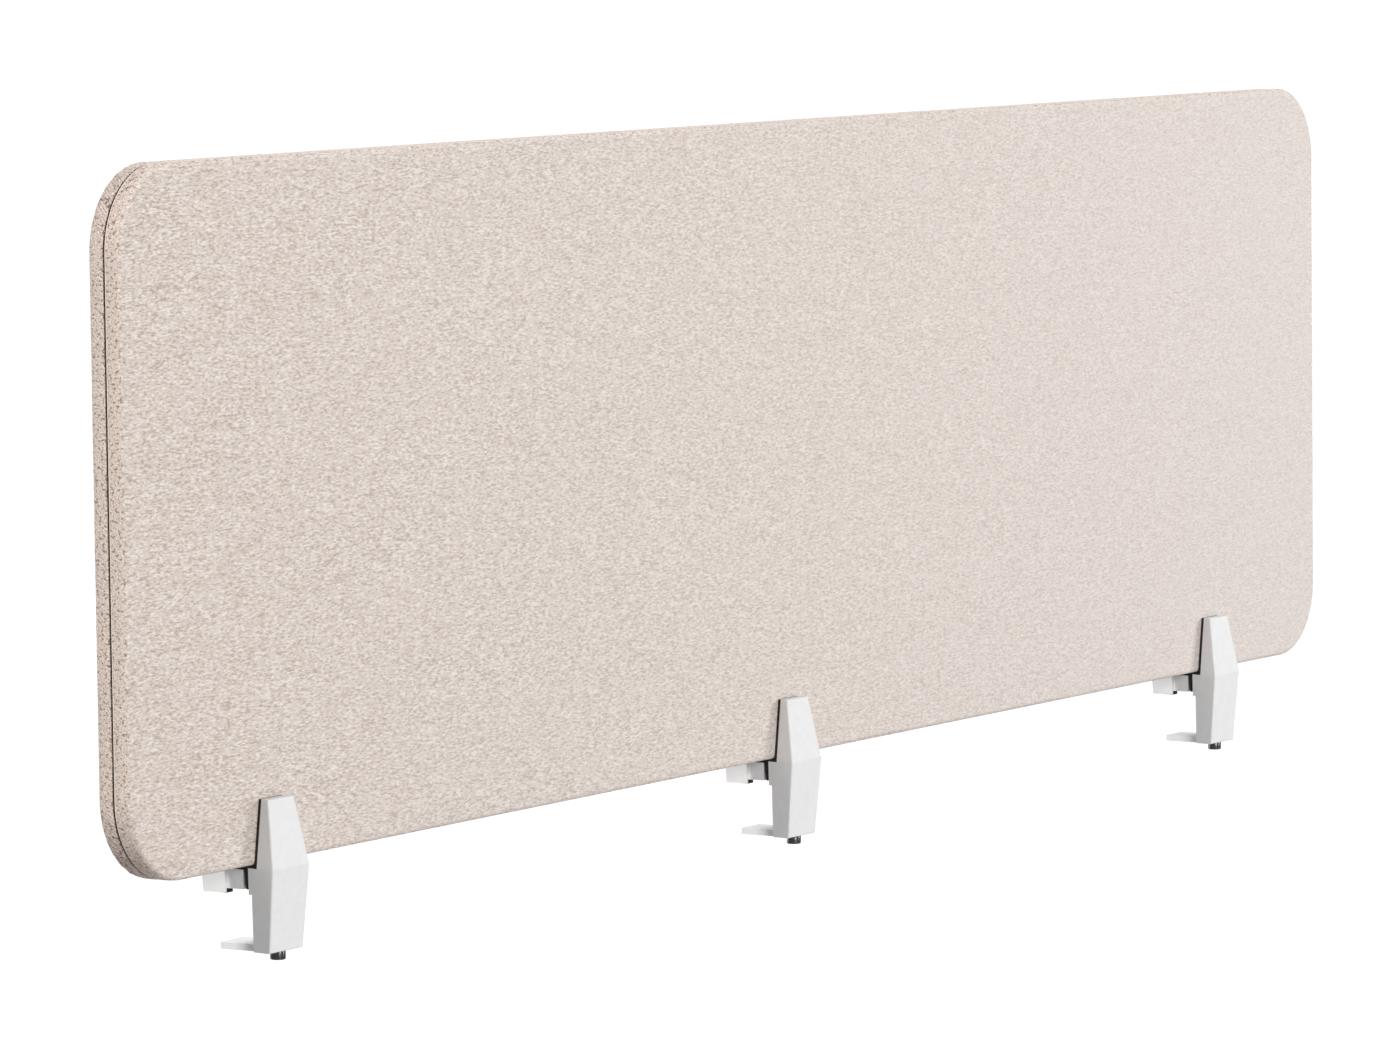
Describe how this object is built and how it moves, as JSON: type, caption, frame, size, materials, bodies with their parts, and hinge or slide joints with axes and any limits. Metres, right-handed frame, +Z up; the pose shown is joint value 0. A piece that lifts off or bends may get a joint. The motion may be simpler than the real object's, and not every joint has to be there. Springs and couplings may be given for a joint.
{
  "type": "desk privacy panel",
  "caption": "Long upholstered desk screen with rounded corners, held on the desk's edge by tapered white two-arm clamps with screw-up jaws and rubber pads.",
  "frame": {"origin": "on the desk top's upper face, at the middle clamp, under the middle of the screen's thickness", "axes": "+X along the screen, +Y from the face with the long arms over the desk top, +Z up"},
  "size_m": [1.6, 0.0568, 0.512],
  "materials": {
    "fabric": "melange wool felt",
    "seam_fabric": "sewn edge in shade",
    "foam": "soft foam",
    "board": "raw board",
    "coated_metal": "white powder coat, satin",
    "rubber": "matt",
    "screw_steel": "zinc plated"
  },
  "bodies": {
    "screen": {"core_board": "board", "front_foam": "foam", "rear_foam": "foam", "seam_allowance": "seam_fabric", "front_cover": "fabric", "rear_cover": "fabric", "left_front_arm": "coated_metal", "left_front_grip_pad": "rubber", "middle_front_arm": "coated_metal", "middle_front_grip_pad": "rubber", "right_front_arm": "coated_metal", "right_front_grip_pad": "rubber"},
    "left_back": {"left_rear_arm": "coated_metal", "left_rear_grip_pad": "rubber", "left_foot_pad_1": "rubber", "left_foot_pad_2": "rubber"},
    "left_grip_bolt": {"left_grip_screw": "screw_steel"},
    "left_lower_jaw": {"left_jaw": "coated_metal"},
    "left_jaw_bolt": {"left_jaw_screw": "screw_steel"},
    "middle_back": {"middle_rear_arm": "coated_metal", "middle_rear_grip_pad": "rubber", "middle_foot_pad_1": "rubber", "middle_foot_pad_2": "rubber"},
    "middle_grip_bolt": {"middle_grip_screw": "screw_steel"},
    "middle_lower_jaw": {"middle_jaw": "coated_metal"},
    "middle_jaw_bolt": {"middle_jaw_screw": "screw_steel"},
    "right_back": {"right_rear_arm": "coated_metal", "right_rear_grip_pad": "rubber", "right_foot_pad_1": "rubber", "right_foot_pad_2": "rubber"},
    "right_grip_bolt": {"right_grip_screw": "screw_steel"},
    "right_lower_jaw": {"right_jaw": "coated_metal"},
    "right_jaw_bolt": {"right_jaw_screw": "screw_steel"}
  },
  "joints": [
    {"name": "left_back_slide", "type": "slide", "parent": "screen", "child": "left_back", "axis": [0, 1, 0], "range_m": [0, 0.004]},
    {"name": "left_grip_bolt_turn", "type": "hinge", "parent": "left_back", "child": "left_grip_bolt", "pos_m": [-0.635, 0.0222, 0.01], "axis": [0, 1, 0], "range_deg": [0, 1440]},
    {"name": "left_jaw_slide", "type": "slide", "parent": "screen", "child": "left_lower_jaw", "axis": [0, 0, 1], "range_m": [0, 0.018]},
    {"name": "left_jaw_bolt_turn", "type": "hinge", "parent": "left_lower_jaw", "child": "left_jaw_bolt", "pos_m": [-0.635, -0.0168, -0.037], "axis": [0, 0, 1], "range_deg": [0, 6480]},
    {"name": "middle_back_slide", "type": "slide", "parent": "screen", "child": "middle_back", "axis": [0, 1, 0], "range_m": [0, 0.004]},
    {"name": "middle_grip_bolt_turn", "type": "hinge", "parent": "middle_back", "child": "middle_grip_bolt", "pos_m": [0, 0.0222, 0.01], "axis": [0, 1, 0], "range_deg": [0, 1440]},
    {"name": "middle_jaw_slide", "type": "slide", "parent": "screen", "child": "middle_lower_jaw", "axis": [0, 0, 1], "range_m": [0, 0.018]},
    {"name": "middle_jaw_bolt_turn", "type": "hinge", "parent": "middle_lower_jaw", "child": "middle_jaw_bolt", "pos_m": [0, -0.0168, -0.037], "axis": [0, 0, 1], "range_deg": [0, 6480]},
    {"name": "right_back_slide", "type": "slide", "parent": "screen", "child": "right_back", "axis": [0, 1, 0], "range_m": [0, 0.004]},
    {"name": "right_grip_bolt_turn", "type": "hinge", "parent": "right_back", "child": "right_grip_bolt", "pos_m": [0.635, 0.0222, 0.01], "axis": [0, 1, 0], "range_deg": [0, 1440]},
    {"name": "right_jaw_slide", "type": "slide", "parent": "screen", "child": "right_lower_jaw", "axis": [0, 0, 1], "range_m": [0, 0.018]},
    {"name": "right_jaw_bolt_turn", "type": "hinge", "parent": "right_lower_jaw", "child": "right_jaw_bolt", "pos_m": [0.635, -0.0168, -0.037], "axis": [0, 0, 1], "range_deg": [0, 6480]}
  ],
  "couplings": [
    {"joint": "left_grip_bolt_turn", "follows": "left_back_slide", "rad_per_m": 6283.2},
    {"joint": "left_jaw_bolt_turn", "follows": "left_jaw_slide", "rad_per_m": 6283.2},
    {"joint": "middle_grip_bolt_turn", "follows": "middle_back_slide", "rad_per_m": 6283.2},
    {"joint": "middle_jaw_bolt_turn", "follows": "middle_jaw_slide", "rad_per_m": 6283.2},
    {"joint": "right_grip_bolt_turn", "follows": "right_back_slide", "rad_per_m": 6283.2},
    {"joint": "right_jaw_bolt_turn", "follows": "right_jaw_slide", "rad_per_m": 6283.2}
  ]
}
